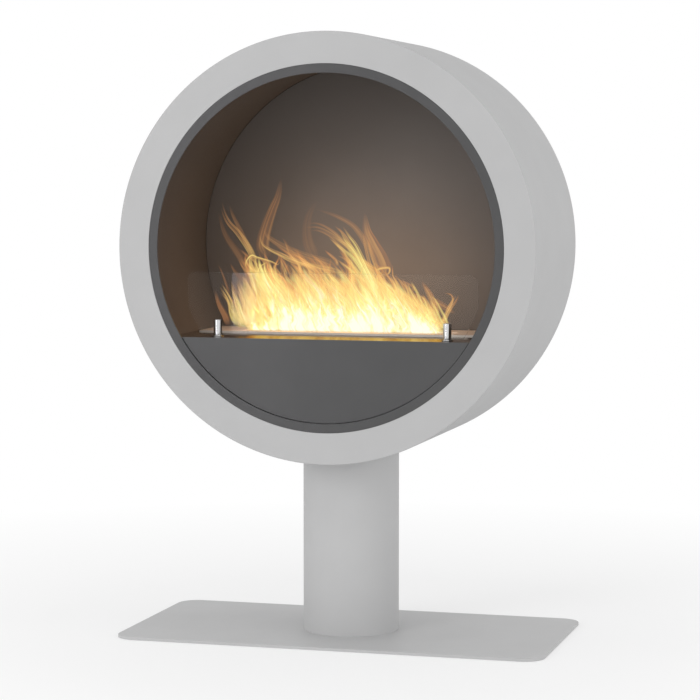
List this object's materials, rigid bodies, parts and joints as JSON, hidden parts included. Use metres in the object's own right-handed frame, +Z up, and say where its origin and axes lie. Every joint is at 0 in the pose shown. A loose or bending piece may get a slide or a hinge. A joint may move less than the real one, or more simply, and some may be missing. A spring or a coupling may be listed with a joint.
{
  "type": "bioethanol fireplace",
  "caption": "Free-standing round drum fireplace on a tubular column and flat base plate, with a lift-out slotted bioethanol burner, a sliding damper and a low glass screen.",
  "frame": {"origin": "on the floor, under the middle of the base plate", "axes": "+Z up; the drum's axis runs along Y and its open front faces -Y; +X is to the right seen from the front"},
  "size_m": [0.675, 0.337, 0.931],
  "materials": {
    "powder_coat": "light grey fine-textured matt powder coat",
    "graphite_paint": "dark graphite heat-resistant matt paint",
    "stainless": "satin stainless steel",
    "zinc_steel": "zinc-plated steel",
    "glass": "clear toughened glass with polished edges",
    "ceramic_fibre": "white ceramic fibre wool",
    "silicone": "clear-grey silicone"
  },
  "bodies": {
    "stand_and_drum": {"base_plate": "powder_coat", "foot_screw_1": "zinc_steel", "foot_screw_2": "zinc_steel", "foot_screw_3": "zinc_steel", "foot_screw_4": "zinc_steel", "foot_flange": "powder_coat", "column_tube": "powder_coat", "column_saddle": "powder_coat", "drum_doubler": "zinc_steel", "saddle_bolt_1": "zinc_steel", "saddle_bolt_2": "zinc_steel", "saddle_bolt_3": "zinc_steel", "saddle_bolt_4": "zinc_steel", "drum_shell": "powder_coat", "front_ring": "powder_coat", "rear_ring": "powder_coat", "rear_cover": "powder_coat", "cover_screw_1": "zinc_steel", "cover_screw_2": "zinc_steel", "cover_screw_3": "zinc_steel", "cover_screw_4": "zinc_steel", "cover_screw_5": "zinc_steel", "cover_screw_6": "zinc_steel", "cover_screw_7": "zinc_steel", "cover_screw_8": "zinc_steel", "lip_ring": "graphite_paint", "firebox_liner": "graphite_paint", "firebox_back": "graphite_paint", "liner_bracket_1": "zinc_steel", "liner_bracket_2": "zinc_steel", "liner_bracket_3": "zinc_steel", "liner_bracket_4": "zinc_steel", "hearth_deck": "graphite_paint", "deck_support_left": "zinc_steel", "deck_support_right": "zinc_steel", "front_panel": "graphite_paint", "panel_bracket": "zinc_steel", "glass_post_left": "stainless", "glass_rest_pad_left": "silicone", "post_nut_left": "zinc_steel", "glass_post_right": "stainless", "glass_rest_pad_right": "silicone", "post_nut_right": "zinc_steel"},
    "burner": {"burner_surround": "stainless", "burner_tank": "stainless", "damper_rail_left": "stainless", "damper_rail_right": "stainless", "ceramic_wool": "ceramic_fibre", "wool_grid": "stainless"},
    "damper": {"flame_damper": "stainless"},
    "screen": {"glass_screen": "glass"}
  },
  "joints": [
    {"name": "burner_lift", "type": "slide", "parent": "stand_and_drum", "child": "burner", "axis": [0, 0, 1], "range_m": [0, 0.09]},
    {"name": "damper_slide", "type": "slide", "parent": "burner", "child": "damper", "axis": [0, -1, 0], "range_m": [0, 0.0415]},
    {"name": "glass_lift", "type": "slide", "parent": "stand_and_drum", "child": "screen", "axis": [0, 0, 1], "range_m": [0, 0.06]}
  ]
}
